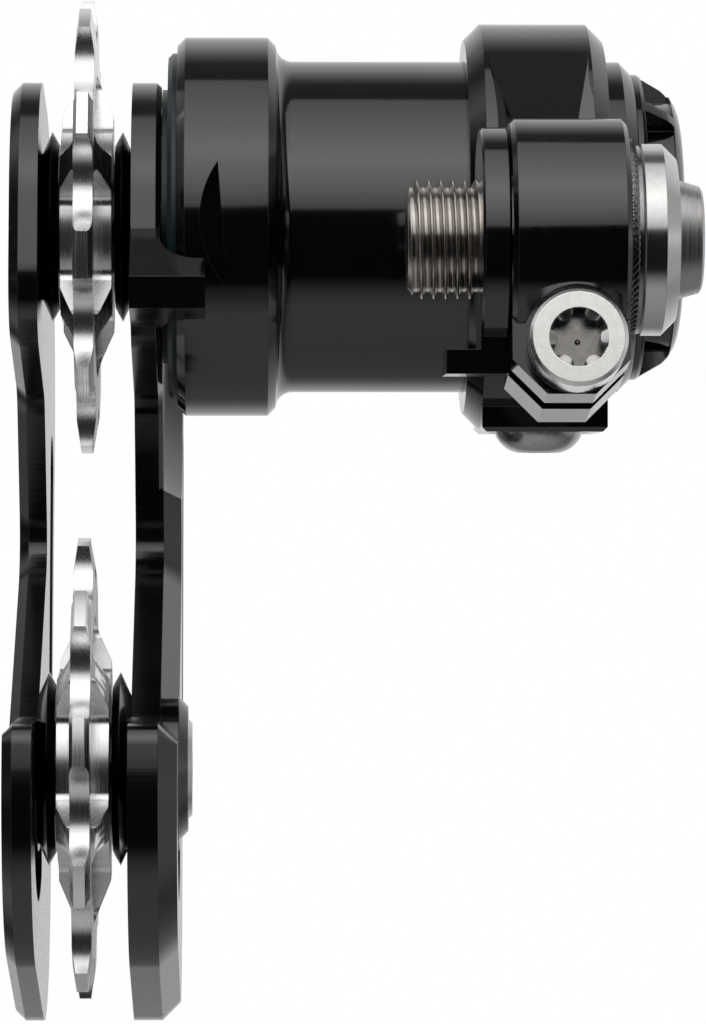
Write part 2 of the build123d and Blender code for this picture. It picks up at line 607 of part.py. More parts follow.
def cage_outline():
    """Outline shared by both plates: a C open to the back of the bicycle."""
    lower = -CAGE_LENGTH
    corners = [
        ((-LOBE_R, LOBE_R), LOBE_R),
        ((BACK_EDGE, LOBE_R), TOP_BACK_R),
        ((HEEL_BACK, lower - HEEL_DROP), HEEL_R),
        ((-LOWER_LOBE_R, lower - HEEL_DROP + TOE_RISE), LOWER_LOBE_R - LEDGE_TIP_R),
        ((-LOWER_LOBE_R, lower + LEDGE_RISE), LEDGE_TIP_R),
        ((LEDGE_ROOT[0], lower + LEDGE_ROOT[1]), LEDGE_TIP_R),
        (BAY_APEX, BAY_R),
        (BAY_TOP, BAY_R),
        ((-LOBE_R, -UNDERSIDE), UNDERSIDE_R),
    ]
    points = [point for point, _ in corners]
    radii = [radius for _, radius in corners]
    return make_face(FilletPolyline(*points, radius=radii, close=True))


def cage_openings():
    """Long slot in the arm and a crescent round the lower pulley bolt."""
    slot_middle = (SLOT_TOP + SLOT_BOTTOM) / 2
    slot_length = SLOT_TOP - SLOT_BOTTOM + SLOT_WIDTH
    slot_y = BAY_APEX[0] + RAIL
    slot = Pos(slot_y, slot_middle) * Rot(Z=90) * SlotOverall(slot_length, SLOT_WIDTH)
    arc = CenterArc((0, -CAGE_LENGTH), CRESCENT_R, CRESCENT_START, CRESCENT_SPAN)
    return slot + SlotArc(arc, CRESCENT_WIDTH)


def bevelled(sheet, end, size):
    """Chamfer every edge of a sheet's face: end 0 faces inboard and end -1 outboard."""
    return chamfer(sheet.faces().sort_by(Axis.X)[end].edges(), size)


def inner_cage_plate():
    start_x = INNER_PLATE_X - OVERRUN
    end_x = INNER_PLATE_IN_X + OVERRUN
    sheet = bevelled(plate(INNER_PLATE_X, INNER_PLATE_IN_X, cage_outline()), 0, INNER_PLATE_CHAMFER)
    sheet -= plate(start_x, end_x, cage_openings())
    sheet -= countersunk_bolt(PRESS_GAP)
    sheet -= Pos(0, 0, -CAGE_LENGTH) * rod(start_x, end_x, BEARING_BORE_D / 2)
    return CAGE_FRAME * sheet


def outer_cage_plate():
    """Carrier plate: keyed to the pivot shaft, thinned past the flange and beaked at the back."""
    start_x = CARRIER_X - OVERRUN
    end_x = CARRIER_OUT_X + OVERRUN
    sheet = bevelled(plate(CARRIER_X, CARRIER_OUT_X, cage_outline()), -1, CARRIER_BEVEL)
    sheet -= turned(
        (start_x, 0),
        (start_x, RECESS_R),
        (CARRIER_FACE_X, RECESS_R),
        (end_x, RECESS_R + end_x - CARRIER_FACE_X),
        (end_x, 0),
    )
    sheet += bevelled(plate(CARRIER_X, CARRIER_FACE_X, cage_outline()), -1, EDGE)
    sheet -= plate(start_x, end_x, cage_openings())
    sheet += plate(CARRIER_X, CARRIER_FACE_X, make_face(Polyline(*NOSE, close=True)))
    sheet += stop_lug()
    sheet += Pos(0, 0, -CAGE_LENGTH) * turned(
        (CARRIER_OUT_X, 0),
        (CARRIER_OUT_X, PULLEY_BOSS_FOOT_R),
        (CARRIER_OUT_X + PULLEY_BOSS_H, PULLEY_BOSS_R),
        (CARRIER_OUT_X + PULLEY_BOSS_H, 0),
    )
    sheet -= plate(start_x, CARRIER_OUT_X, shaft_tenon(PRESS_GAP))
    sheet -= Pos(0, 0, -CAGE_LENGTH) * shoulder_bolt(PRESS_GAP)
    return CAGE_FRAME * (sheet - stop_groove())


def stop_lug():
    """Nose carried on over the housing flange, with a fillet where it leaves the plate."""
    lug_end = CARRIER_FACE_X + LUG_LENGTH
    room_end = lug_end + OVERRUN
    fillet_x = CARRIER_FACE_X + LUG_FILLET
    fillet_r = LUG_ROOT_R - LUG_FILLET
    arc_middle = (fillet_x - LUG_FILLET * sin(pi / 4), fillet_r + LUG_FILLET * sin(pi / 4))
    flange_room = [
        Polyline((CARRIER_FACE_X, 0), (CARRIER_FACE_X, fillet_r)),
        ThreePointArc((CARRIER_FACE_X, fillet_r), arc_middle, (fillet_x, LUG_ROOT_R)),
        Polyline((fillet_x, LUG_ROOT_R), (room_end, LUG_ROOT_R), (room_end, 0), (CARRIER_FACE_X, 0)),
    ]
    beak = plate(CARRIER_FACE_X, lug_end, make_face(Polyline(*NOSE, close=True)))
    return beak - revolve(Plane.XZ * make_face(flange_room), Axis.X)


def stop_groove():
    """Arc in the carrier plate's outboard face; the dowel meets one end at rest."""
    depth = CARRIER_THIN / 2 + AXIAL_PLAY
    end_room = degrees(2 * RUNNING_GAP / DOWEL_ORBIT_R)
    arc = CenterArc((0, 0), DOWEL_ORBIT_R, STOP_ANGLE - SWING - end_room, SWING + 2 * end_room)
    width = DOWEL_D + 2 * AXIAL_PLAY
    return plate(CARRIER_FACE_X - depth, CARRIER_FACE_X + OVERRUN, SlotArc(arc, width))


def countersunk_bolt(room):
    """Upper pulley bolt: its flat head sits flush in the inner plate."""
    radius = PULLEY_BOLT_R + room
    head_r = UPPER_BOLT_HEAD_R + room
    rim = EDGE / 2
    return turned(
        (INNER_PLATE_X, 0),
        (INNER_PLATE_X, head_r),
        (INNER_PLATE_X + rim, head_r),
        (INNER_PLATE_X + rim + head_r - radius, radius),
        (CARRIER_X + UPPER_BOLT_GRIP, radius),
        (CARRIER_X + UPPER_BOLT_GRIP, 0),
    )


def upper_pulley_bolt():
    return CAGE_FRAME * (countersunk_bolt(0) - hex_socket(INNER_PLATE_X, BOLT_HEX_DEPTH, BOLT_HEX))


def shoulder_bolt(room):
    """Lower pulley bolt: its head sits in the carrier plate's boss, a little proud of it."""
    radius = PULLEY_BOLT_R + room
    head_x = CARRIER_OUT_X + PULLEY_BOSS_H + LOWER_BOLT_PROUD
    seat_x = head_x - LOWER_BOLT_HEAD_H
    head_r = LOWER_BOLT_HEAD_D / 2 + room
    return turned(
        (INNER_PLATE_X + BOLT_TIP_INSET, 0),
        (INNER_PLATE_X + BOLT_TIP_INSET, radius),
        (seat_x, radius),
        (seat_x, head_r),
        (head_x - EDGE, head_r),
        (head_x, head_r - EDGE),
        (head_x, 0),
    )


def lower_pulley_bolt():
    head_x = CARRIER_OUT_X + PULLEY_BOSS_H + LOWER_BOLT_PROUD
    return AT_LOWER_PULLEY * (shoulder_bolt(0) - hex_socket(head_x, -BOLT_HEX_DEPTH, BOLT_HEX))


def dust_cap(side):
    """Crowned cap between a plate and the bearing's inner race, on the given side of the wheel."""
    bore_r = BEARING_BORE_D / 2
    back_face = HUB_WIDTH / 2 + DUST_CAP_GAP
    race_face = BEARING_WIDTH / 2
    plate_face = CAGE_GAP / 2
    race_r = bore_r + RACE_WALL - 2 * PRESS_GAP
    ridge = (back_face + DUST_CAP_RIDGE, DUST_CAP_R)
    foot = (plate_face, DUST_CAP_FOOT_R)
    outline = [
        Polyline(
            foot,
            (plate_face, bore_r),
            (race_face, bore_r),
            (race_face, race_r),
            (back_face, race_r),
            (back_face, DUST_CAP_R),
            ridge,
        ),
        SagittaArc(ridge, foot, DUST_CAP_BULGE),
    ]
    cap = revolve(Plane.XZ * make_face(outline), Axis.X)
    return Pos(PULLEY_X, 0, 0) * (cap if side > 0 else mirror(cap, Plane.YZ))


# Pulleys

def wheel_window():
    """Opening between two tapered spokes, in line with the tooth at angle 0."""
    foot_angle = pi / SPOKES - asin(SPOKE_FOOT / 2 / WINDOW_IN_R)
    end_angle = pi / SPOKES - asin(SPOKE_END / 2 / WINDOW_OUT_R)
    foot = Vector(cos(foot_angle), sin(foot_angle)) * WINDOW_IN_R
    end = Vector(cos(end_angle), sin(end_angle)) * WINDOW_OUT_R
    outline = [
        ThreePointArc(foot, (WINDOW_IN_R, 0), (foot.X, -foot.Y)),
        Line((foot.X, -foot.Y), (end.X, -end.Y)),
        ThreePointArc((end.X, -end.Y), (WINDOW_OUT_R, 0), end),
        Line(end, foot),
    ]
    opening = make_face(outline)
    return fillet(opening.vertices(), WINDOW_CORNER_R)


def pulley_wheel(tooth_angle):
    """Toothed wheel: turned hub, cone and rim, then gullets and windows cut through it."""
    hub_x = HUB_WIDTH / 2
    rim_x = RIM_WIDTH / 2
    tip_x = TIP_WIDTH / 2
    shoulder_r = TIP_R - TIP_CHAMFER
    half = [(hub_x, HUB_R), (rim_x, WEB_R), (rim_x, shoulder_r), (tip_x, TIP_R)]
    mirrored = [(-x, r) for x, r in reversed(half)]
    bore_r = BEARING_OD / 2
    blank = turned((-hub_x, bore_r), (hub_x, bore_r), *half, *mirrored)
    gullets = Sketch() + PolarLocations(PITCH_R, TEETH, 180 / TEETH) * Circle(GULLET_R)
    windows = Sketch() + PolarLocations(0, SPOKES) * wheel_window()
    wheel = blank - plate(-HUB_WIDTH, HUB_WIDTH, gullets) - plate(-HUB_WIDTH, HUB_WIDTH, windows)
    return Pos(PULLEY_X, 0, 0) * Rot(X=180 - tooth_angle) * wheel


def race_groove():
    return revolve(Plane.XZ * (Pos(0, BALL_ORBIT_R) * Circle(BALL_D / 2 + RUNNING_GAP)), Axis.X)


def bearing_inner_race():
    bore_r = BEARING_BORE_D / 2
    race = tube(-BEARING_WIDTH / 2, BEARING_WIDTH / 2, bore_r + RACE_WALL, bore_r) - race_groove()
    return Pos(PULLEY_X, 0, 0) * race


def bearing_outer_race():
    outer_r = BEARING_OD / 2 - PRESS_GAP
    race = tube(-BEARING_WIDTH / 2, BEARING_WIDTH / 2, outer_r, outer_r - RACE_WALL) - race_groove()
    return Pos(PULLEY_X, 0, 0) * race


def bearing_balls():
    balls = [Plane.YZ * place * Sphere(BALL_D / 2) for place in PolarLocations(BALL_ORBIT_R, BALLS)]
    return Pos(PULLEY_X, 0, 0) * Compound(children=balls)


def bearing_shields():
    """Two thin discs that close the bearing, carried by its outer race."""
    outer_r = BEARING_OD / 2 - RACE_WALL - 2 * PRESS_GAP
    inner_r = BEARING_BORE_D / 2 + RACE_WALL + 2 * RUNNING_GAP
    face_x = BEARING_WIDTH / 2
    discs = [
        tube(-face_x, SHIELD_T - face_x, outer_r, inner_r),
        tube(face_x - SHIELD_T, face_x, outer_r, inner_r),
    ]
    return Pos(PULLEY_X, 0, 0) * Compound(children=discs)


def pulley_nodes(name, place, tooth_angle):
    return {
        f"{name}_pulley_wheel": place * pulley_wheel(tooth_angle),
        f"{name}_bearing_outer_race": place * bearing_outer_race(),
        f"{name}_bearing_inner_race": place * bearing_inner_race(),
        f"{name}_bearing_balls": place * bearing_balls(),
        f"{name}_bearing_shields": place * bearing_shields(),
        f"{name}_inner_dust_cap": place * dust_cap(-1),
        f"{name}_outer_dust_cap": place * dust_cap(1),
    }


NODES = {
    "hanger_bolt": hanger_bolt(),
    "stop_plate": stop_plate(),
    "lock_washer": lock_washer(),
    "clamp_knuckle": clamp_knuckle(),
    "pinch_screw": pinch_screw(),
    "housing_lock_screw": housing_lock_screw(),
    "spring_housing": spring_housing(),
    "end_cap": end_cap(),
    "inner_bush": inner_bush(),
    "outer_bush": outer_bush(),
    "seal_ring": seal_ring(),
    "stop_dowel": stop_dowel(),
    "torsion_spring": torsion_spring(),
    "spring_collar": spring_collar(),
    "pivot_shaft": pivot_shaft(),
    "shaft_circlip": shaft_circlip(),
    "inner_cage_plate": inner_cage_plate(),
    "outer_cage_plate": outer_cage_plate(),
    "upper_pulley_bolt": upper_pulley_bolt(),
    "lower_pulley_bolt": lower_pulley_bolt(),
    **pulley_nodes("upper", AT_PIVOT, UPPER_TOOTH_ANGLE),
    **pulley_nodes("lower", AT_LOWER_PULLEY, LOWER_TOOTH_ANGLE - CAGE_TILT),
}

os.makedirs("parts", exist_ok=True)
for node, shape in NODES.items():
    export_step(shape, f"parts/{node}.step")
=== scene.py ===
import json
import math

import bmesh
import bpy
from mathutils import Matrix, Vector


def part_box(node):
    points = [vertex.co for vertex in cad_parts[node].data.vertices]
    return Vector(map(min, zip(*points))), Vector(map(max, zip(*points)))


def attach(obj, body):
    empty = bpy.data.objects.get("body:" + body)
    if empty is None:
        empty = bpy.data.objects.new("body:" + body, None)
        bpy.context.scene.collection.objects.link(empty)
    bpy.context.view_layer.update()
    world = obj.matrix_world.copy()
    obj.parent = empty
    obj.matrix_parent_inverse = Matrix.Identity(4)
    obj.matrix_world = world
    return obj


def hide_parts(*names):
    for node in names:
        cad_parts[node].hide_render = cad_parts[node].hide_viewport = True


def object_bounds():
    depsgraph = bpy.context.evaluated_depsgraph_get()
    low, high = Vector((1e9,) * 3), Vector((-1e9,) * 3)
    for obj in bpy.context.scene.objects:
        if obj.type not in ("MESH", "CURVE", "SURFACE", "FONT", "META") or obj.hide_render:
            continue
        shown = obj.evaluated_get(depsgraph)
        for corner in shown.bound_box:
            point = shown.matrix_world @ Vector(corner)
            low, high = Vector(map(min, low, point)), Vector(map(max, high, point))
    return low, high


# Looks of a bicycle chain tensioner: black anodised castings and plates, bright machined pulleys
# and stainless screws, laid over the solids of the frame. Sizes are in millimetres, places in the
# frame's own axes: +X outboard, +Y forward, +Z up.

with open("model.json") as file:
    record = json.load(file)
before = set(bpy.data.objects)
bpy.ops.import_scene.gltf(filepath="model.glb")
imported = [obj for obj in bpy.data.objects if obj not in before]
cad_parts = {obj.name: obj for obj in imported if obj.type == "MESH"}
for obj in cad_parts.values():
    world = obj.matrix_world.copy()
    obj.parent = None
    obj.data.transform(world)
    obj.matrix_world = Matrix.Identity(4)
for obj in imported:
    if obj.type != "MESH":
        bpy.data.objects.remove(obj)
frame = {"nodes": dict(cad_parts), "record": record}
cad_low, cad_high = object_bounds()
RECORD = frame["record"]
SLOT_OF = {row["node"]: row["material_slot"] for row in RECORD["subparts"]}
BODY_OF = {node: body for body, nodes in RECORD["behaviour"]["bodies"].items() for node in nodes}
JOINT_AT = {joint["name"]: Vector(joint.get("pos_m", (0, 0, 0))) for joint in RECORD["behaviour"]["joints"]}
MOUNT = {mount["name"]: mount for mount in RECORD["mounts"]}

MM = 0.001
PIVOT = JOINT_AT["cage_swing"]
LOWER_AXLE = JOINT_AT["lower_spin"]
HANGER = JOINT_AT["knuckle_tilt"]

# The photograph's frame: a long lens behind the bicycle, level with the middle of the cage
IMAGE_WIDTH = 706
IMAGE_HEIGHT = 1024
FOCAL_PX = 5198
AXIS_PX = 238                # image column that the camera's straight-ahead line crosses when unturned
CAMERA_AT = Vector((-20.05, -433.0, -22.7)) * MM
SENSOR = 36.0                # the image's longer side on the film
CLIP_NEAR = 0.01             # metres, as is the far end
CLIP_FAR = 20.0

# Welded copies of the solids
WELD = 1e-6                  # metres: corners nearer than this are one
FLAT_ANGLE = math.radians(0.5)
CREASE_ANGLE = math.radians(27)

# Finishes: the hair's breadth that rounds every edge in the shading, and the black anodising
EDGE_RADIUS = 0.09 * MM
EDGE_SAMPLES = 4
NOISE_REACH = (0.3, 0.7)     # nearly all of a noise pattern lies between these
BLACK_IOR = 1.77
BLACK_SHADES = ((0.0016, 0.0016, 0.0018), (0.0026, 0.0026, 0.0029))
TURNED_SMOOTH = 0.6          # least roughness of turned steel, as a share of the most

# Hanger bolt and its lock washer
THREAD_PITCH = 1.0
THREAD_DEPTH = 0.61
THREAD_LEAD_IN = 0.8
THREAD_ROWS = 20             # rings of the mesh to one pitch
CREST_FLAT = 0.125           # of the pitch
ROOT_FLAT = 0.25
BOLT_SHANK_R = 5.5
BOLT_FLANGE_T = 3.1
BOLT_FLANGE_CHAMFER = 1.2
BOLT_BOSS_T = 2.2
BOLT_BOSS_R = 5.05
BOLT_BOSS_END_R = 4.35
BOLT_ROUND = 0.2
BOLT_SOCKET_FLATS = 5.0
BOLT_SOCKET_CORNER_R = BOLT_SOCKET_FLATS / 2 / math.cos(math.pi / 6)
BOLT_SOCKET_DEPTH = 6.0
BOLT_SOCKET_LEAD = 0.35
BOLT_STEPS = 120
WASHER_BORE_ROOM = 0.05
WASHER_TEETH = 84
WASHER_TOOTH_DEPTH = 0.28
WASHER_TOOTH_WIDTH = 0.62
WASHER_RECESS = 0.55
WASHER_SLANT = 1.1           # teeth that the serration leans over its width
WASHER_STEPS_PER_TOOTH = 4
WASHER_ROWS = 5

# Pinch screw: its own frame lies on the hanger axis, leaned back from the level
PINCH_X = 7.7
PINCH_LEAN = math.radians(-8.5)
PINCH_DROP = 9.95
PINCH_FACE = -9.5
PINCH_SEAT = -5.9
PINCH_SOCKET_FLOOR = -6.9
PINCH_SOCKET_R = 2.45
PINCH_SOCKET_LEAD = 0.38     # depth of the cone at its mouth
PINCH_PIP_R = (0.34, 0.08)   # raised pip on its floor: at the foot and at the tip
PINCH_PIP_RISE = 0.22
PINCH_PIP_STEPS = 24
PINCH_BELOW_FACE = 0.02      # a facet whose middle is deeper than this lies in the socket
PINCH_ON_FACE = 0.01         # a corner nearer than this lies on the head's face
PINCH_FRAME = (
    Matrix.Translation((PINCH_X * MM, 0, 0))
    @ Matrix.Rotation(PINCH_LEAN, 4, "X")
    @ Matrix.Translation((0, 0, -PINCH_DROP * MM))
)

# Web from the knuckle's ring down to its boss: a sloping face that narrows between two bevels
WEB_SLOPE = math.radians(54)  # the face looks back and up at this angle above the level
WEB_LEAD = (1.0, 0.08)        # its top runs on inside the ring: how far, and how deep there
WEB_LENGTH = 14.2
WEB_SPAN = (1.15, 10.45)      # along X, as wide as the ring between its chamfers
WEB_ROOT = (1.0, 6.0)         # thickness at the ring and at the boss
# Its bevels: X at the ring, how far the face's edge comes in per millimetre, steepness of the bevel
WEB_LEFT_BEVEL = (1.35, 0.174, 3.4)
WEB_RIGHT_BEVEL = (10.35, 0.141, 1.0)
WEB_CORNER = (10.5, 2.95)     # the left flank turns in here, to this X at the boss, clear of the stop plate

# Dust caps and the lower pulley bolt's boss
CAP_BORE_R = 3.0
CAP_SLEEVE_R = 4.08
CAP_BACK_R = 7.2
CAP_RIDGE_IN = 0.65          # ridge, from the back face
CAP_FOOT_R = 6.4
CAP_GAP = 0.2                # back face to the wheel's hub
CAP_STEPS = 96
BOSS_ROOT_R = 6.25
BOSS_BORE_R = 4.45
BOSS_ROOT_X = (-26.75, -25.15)

# Studio
SOFTBOX_TOP = Vector((-160, 40, 216)) * MM
SOFTBOX_FOOT = Vector((-160, -350, 62)) * MM
SOFTBOX_WIDTH = 620 * MM
SOFTBOX_RADIANCE = 1.7
FLOOR_DROP = 130 * MM
FLOOR_R = 260 * MM
FLOOR_GREY = 0.65
FLOOR_ROUGHNESS = 0.6
FLOOR_LIFT = 0.5             # as the camera sees it
FLOOR_FADE = (0.0, 0.5)      # share of the way in from the rim over which it comes in
FLOOR_STEPS = 96

# Brightness up the softbox, from its foot to its top edge: (share of its height, share of the most)
GLOW = (
    (0.0, 0.34),
    (0.10, 0.44),
    (0.24, 0.60),
    (0.45, 0.86),
    (0.57, 1.0),
    (0.70, 0.80),
    (0.86, 0.56),
    (1.0, 0.40),
)

# The room as the object mirrors it, by the angle round the X axis, from straight behind past below,
# the camera and overhead to straight behind again: (degrees, brightness), level with the camera at 0
ROOM = (
    (-180, 0.85),
    (-150, 0.62),
    (-125, 0.12),
    (-60, 0.10),
    (-48, 0.010),
    (88, 0.010),
    (100, 0.10),
    (115, 0.12),
    (137, 0.80),
    (180, 0.85),
)
LEFT_FADE = (-0.60, -0.30)   # sideways share of the view over which the room on the left goes dark
LEFT_LEVEL = 0.16            # share of its brightness that is left there
RIGHT_WALL = (0.72, 0.92)    # sideways share over which the pale wall on the right comes in
RIGHT_LEVEL = 0.45
# Pale walls on the left, behind the object and beside the camera: sideways share of the view over
# which each comes in, share along the camera's line likewise, brightness
LEFT_WALLS = (
    ((-0.62, -0.80), (0.10, 0.30), 0.5),
    ((-0.48, -0.62), (-0.25, -0.45), 0.3),
)


# Node trees

def wire(tree, kind, inputs=None, **settings):
    """A node with its settings, its plain inputs set and its linked inputs joined."""
    node = tree.nodes.new(kind)
    for key, value in settings.items():
        setattr(node, key, value)
    for socket, value in (inputs or {}).items():
        if isinstance(value, bpy.types.NodeSocket):
            tree.links.new(value, node.inputs[socket])
        else:
            node.inputs[socket].default_value = value
    return node


def maths(tree, operation, first, second):
    return wire(tree, "ShaderNodeMath", {0: first, 1: second}, operation=operation).outputs[0]


# Finishes

class Finish:
    """One material, wired up round its own shader."""

    def __init__(self, name, metallic, ior=1.5):
        self.material = bpy.data.materials.new(name)
        self.material.use_nodes = True
        self.tree = self.material.node_tree
        self.shader = self.tree.nodes["Principled BSDF"]
        self.shader.inputs["Metallic"].default_value = metallic
        self.shader.inputs["IOR"].default_value = ior
        self.place = self.add("ShaderNodeTexCoord").outputs["Object"]
        rounded = self.add("ShaderNodeBevel", {"Radius": EDGE_RADIUS}, samples=EDGE_SAMPLES)
        self.edge = rounded.outputs["Normal"]
        self.tree.links.new(self.edge, self.shader.inputs["Normal"])

    def add(self, kind, inputs=None, **settings):
        return wire(self.tree, kind, inputs, **settings)

    def grain(self, size, stretch=(1, 1, 1), detail=2.0):
        """Noise whose blotches measure about size, drawn out along an axis by stretch."""
        scale = [1 / (size * MM * factor) for factor in stretch]
        place = self.add("ShaderNodeMapping", {"Vector": self.place, "Scale": scale}).outputs[0]
        noise = self.add("ShaderNodeTexNoise", {"Vector": place, "Scale": 1.0, "Detail": detail})
        return noise.outputs["Fac"]

    def turning(self, centre, pitch):
        """Tool lines of a lathe: rings round an X axis, on round and on end faces alike."""
        local = self.add(
            "ShaderNodeMapping", {"Vector": self.place, "Location": centre}, vector_type="TEXTURE",
        ).outputs[0]
        parts = self.add("ShaderNodeSeparateXYZ", {0: local}).outputs
        across = self.add("ShaderNodeCombineXYZ", {"Y": parts["Y"], "Z": parts["Z"]}).outputs[0]
        radius = self.add("ShaderNodeVectorMath", {0: across}, operation="LENGTH").outputs["Value"]
        along = maths(self.tree, "ADD", parts["X"], radius)
        return self.add(
            "ShaderNodeTexNoise",
            {"W": along, "Scale": 1 / (pitch * MM), "Detail": 2.0},
            noise_dimensions="1D",
        ).outputs["Fac"]

    def colour(self, pattern, dark, light):
        mix = self.add("ShaderNodeMix", {0: pattern}, data_type="RGBA")
        mix.inputs[6].default_value = (*dark, 1)
        mix.inputs[7].default_value = (*light, 1)
        self.tree.links.new(mix.outputs[2], self.shader.inputs["Base Color"])

    def roughness(self, pattern, smooth, rough):
        low, high = NOISE_REACH
        spread = self.add(
            "ShaderNodeMapRange",
            {"Value": pattern, "From Min": low, "From Max": high, "To Min": smooth, "To Max": rough},
        ).outputs[0]
        self.tree.links.new(spread, self.shader.inputs["Roughness"])

    def relief(self, *layers):
        """Bump of (pattern, depth in millimetres) layers, over edges softened by a hair."""
        normal = self.edge
        for pattern, depth in layers:
            bump = self.add("ShaderNodeBump", {"Height": pattern, "Distance": depth * MM, "Normal": normal})
            normal = bump.outputs["Normal"]
        self.tree.links.new(normal, self.shader.inputs["Normal"])


def turned_black(name, centre):
    finish = Finish(name, metallic=0.0, ior=BLACK_IOR)
    lines = finish.turning(centre, pitch=0.12)
    blast = finish.grain(0.05)
    finish.colour(finish.grain(2.5), *BLACK_SHADES)
    finish.roughness(lines, 0.08, 0.12)
    finish.relief((lines, 0.0004), (blast, 0.0002))
    return finish.material


def blasted_black(name):
    finish = Finish(name, metallic=0.0, ior=BLACK_IOR)
    blast = finish.grain(0.06)
    finish.colour(finish.grain(2.5), *BLACK_SHADES)
    finish.roughness(finish.grain(0.7), 0.08, 0.13)
    finish.relief((blast, 0.0003))
    return finish.material


def milled_black(name):
    """Cage plate: the cutter's passes leave fine level lines along the rim."""
    finish = Finish(name, metallic=0.0, ior=BLACK_IOR)
    passes = finish.grain(0.10, stretch=(60, 12, 1), detail=3.0)
    finish.colour(finish.grain(2.0), (0.0016, 0.0016, 0.0018), (0.0028, 0.0028, 0.0031))
    finish.roughness(passes, 0.11, 0.20)
    finish.relief((passes, 0.0012))
    return finish.material


def bright_aluminium(name, centre):
    """Pulley: turned hub and faces, teeth and windows milled straight through."""
    finish = Finish(name, metallic=1.0)
    lines = finish.turning(centre, pitch=0.09)
    cuts = finish.grain(0.09, stretch=(40, 1, 1), detail=2.0)
    finish.colour(finish.grain(1.2), (0.80, 0.80, 0.81), (0.90, 0.90, 0.91))
    finish.roughness(lines, 0.20, 0.30)
    finish.relief((lines, 0.0010), (cuts, 0.0010))
    return finish.material


def turned_stainless(name, centre, dark, light, rough=0.2):
    finish = Finish(name, metallic=1.0)
    lines = finish.turning(centre, pitch=0.10)
    finish.colour(finish.grain(0.6), dark, light)
    finish.roughness(lines, TURNED_SMOOTH * rough, rough)
    finish.relief((lines, 0.0008), (finish.grain(0.05), 0.0003))
    return finish.material


def tumbled_stainless(name, dark, light):
    """Cold-headed screw: tumbled to a dull, slightly mottled shine."""
    finish = Finish(name, metallic=1.0)
    dents = finish.grain(0.8)
    finish.colour(finish.grain(0.5), dark, light)
    finish.roughness(dents, 0.20, 0.30)
    finish.relief((dents, 0.0040), (finish.grain(0.06), 0.0004))
    return finish.material


def seal_rubber(name):
    finish = Finish(name, metallic=0.0)
    finish.colour(finish.grain(1.5), (0.005, 0.013, 0.015), (0.009, 0.023, 0.026))
    finish.roughness(finish.grain(0.3), 0.30, 0.42)
    finish.relief((finish.grain(0.05), 0.0006))
    return finish.material


def gloss_black(name, centre):
    finish = Finish(name, metallic=0.0)
    lines = finish.turning(centre, pitch=0.15)
    finish.colour(finish.grain(2.0), (0.0015, 0.0015, 0.0015), (0.0025, 0.0025, 0.0025))
    finish.roughness(lines, 0.12, 0.20)
    finish.relief((lines, 0.0004))
    return finish.material


def ground_steel(name):
    finish = Finish(name, metallic=1.0)
    finish.colour(finish.grain(0.8), (0.62, 0.62, 0.64), (0.72, 0.72, 0.74))
    finish.roughness(finish.grain(0.2), 0.10, 0.18)
    return finish.material


def drawn_wire(name):
    finish = Finish(name, metallic=1.0)
    finish.colour(finish.grain(0.5), (0.30, 0.30, 0.31), (0.42, 0.42, 0.43))
    finish.roughness(finish.grain(0.15), 0.28, 0.42)
    finish.relief((finish.grain(0.06), 0.0008))
    return finish.material


def bush_polymer(name):
    finish = Finish(name, metallic=0.0)
    finish.colour(finish.grain(0.4), (0.11, 0.10, 0.085), (0.17, 0.16, 0.135))
    finish.roughness(finish.grain(0.2), 0.45, 0.60)
    finish.relief((finish.grain(0.08), 0.0015))
    return finish.material


FINISHES = {
    "housing_black": turned_black("housing_black", PIVOT),
    "knuckle_black": blasted_black("knuckle_black"),
    "cage_black": milled_black("cage_black"),
    "upper_bright": bright_aluminium("upper_bright", PIVOT),
    "lower_bright": bright_aluminium("lower_bright", LOWER_AXLE),
    "hanger_steel": turned_stainless("hanger_steel", HANGER, (0.56, 0.55, 0.54), (0.66, 0.65, 0.64)),
    "boss_steel": turned_stainless("boss_steel", HANGER, (0.46, 0.45, 0.44), (0.56, 0.55, 0.54), 0.42),
    "thread_steel": turned_stainless("thread_steel", HANGER, (0.40, 0.375, 0.35), (0.54, 0.51, 0.48), 0.26),
    "washer_steel": turned_stainless("washer_steel", HANGER, (0.20, 0.20, 0.21), (0.34, 0.34, 0.35), 0.24),
    "upper_steel": turned_stainless("upper_steel", PIVOT, (0.50, 0.49, 0.47), (0.66, 0.65, 0.63), 0.3),
    "lower_steel": turned_stainless("lower_steel", LOWER_AXLE, (0.50, 0.49, 0.47), (0.66, 0.65, 0.63), 0.3),
    # A darker copy of the screw steel, painted into the pinch screw's socket as shade in the recess
    "painted_socket_shade": tumbled_stainless("painted_socket_shade", (0.24, 0.23, 0.22), (0.34, 0.33, 0.315)),
    "pinch_steel": tumbled_stainless("pinch_steel", (0.82, 0.81, 0.79), (0.92, 0.91, 0.89)),
    # The housing lock screw's own steel, also laid on the pinch screw's socket mouth cone as painted shade
    "lock_steel_and_painted_mouth_shade": tumbled_stainless("lock_steel_and_painted_mouth_shade", (0.44, 0.43, 0.42), (0.56, 0.55, 0.54)),
    "seal_rubber": seal_rubber("seal_rubber"),
    "upper_gloss": gloss_black("upper_gloss", PIVOT),
    "lower_gloss": gloss_black("lower_gloss", LOWER_AXLE),
    "ground_steel": ground_steel("ground_steel"),
    "drawn_wire": drawn_wire("drawn_wire"),
    "bush_polymer": bush_polymer("bush_polymer"),
}

# Solids that show: each gets a welded, smoothly shaded copy in this finish
SHOWN = {
    "stop_plate": "knuckle_black",
    "clamp_knuckle": "knuckle_black",
    "housing_lock_screw": "lock_steel_and_painted_mouth_shade",
    "spring_housing": "housing_black",
    "end_cap": "housing_black",
    "seal_ring": "seal_rubber",
    "inner_cage_plate": "cage_black",
    "outer_cage_plate": "cage_black",
    "upper_pulley_bolt": "upper_steel",
    "lower_pulley_bolt": "lower_steel",
    "upper_pulley_wheel": "upper_bright",
    "lower_pulley_wheel": "lower_bright",
}

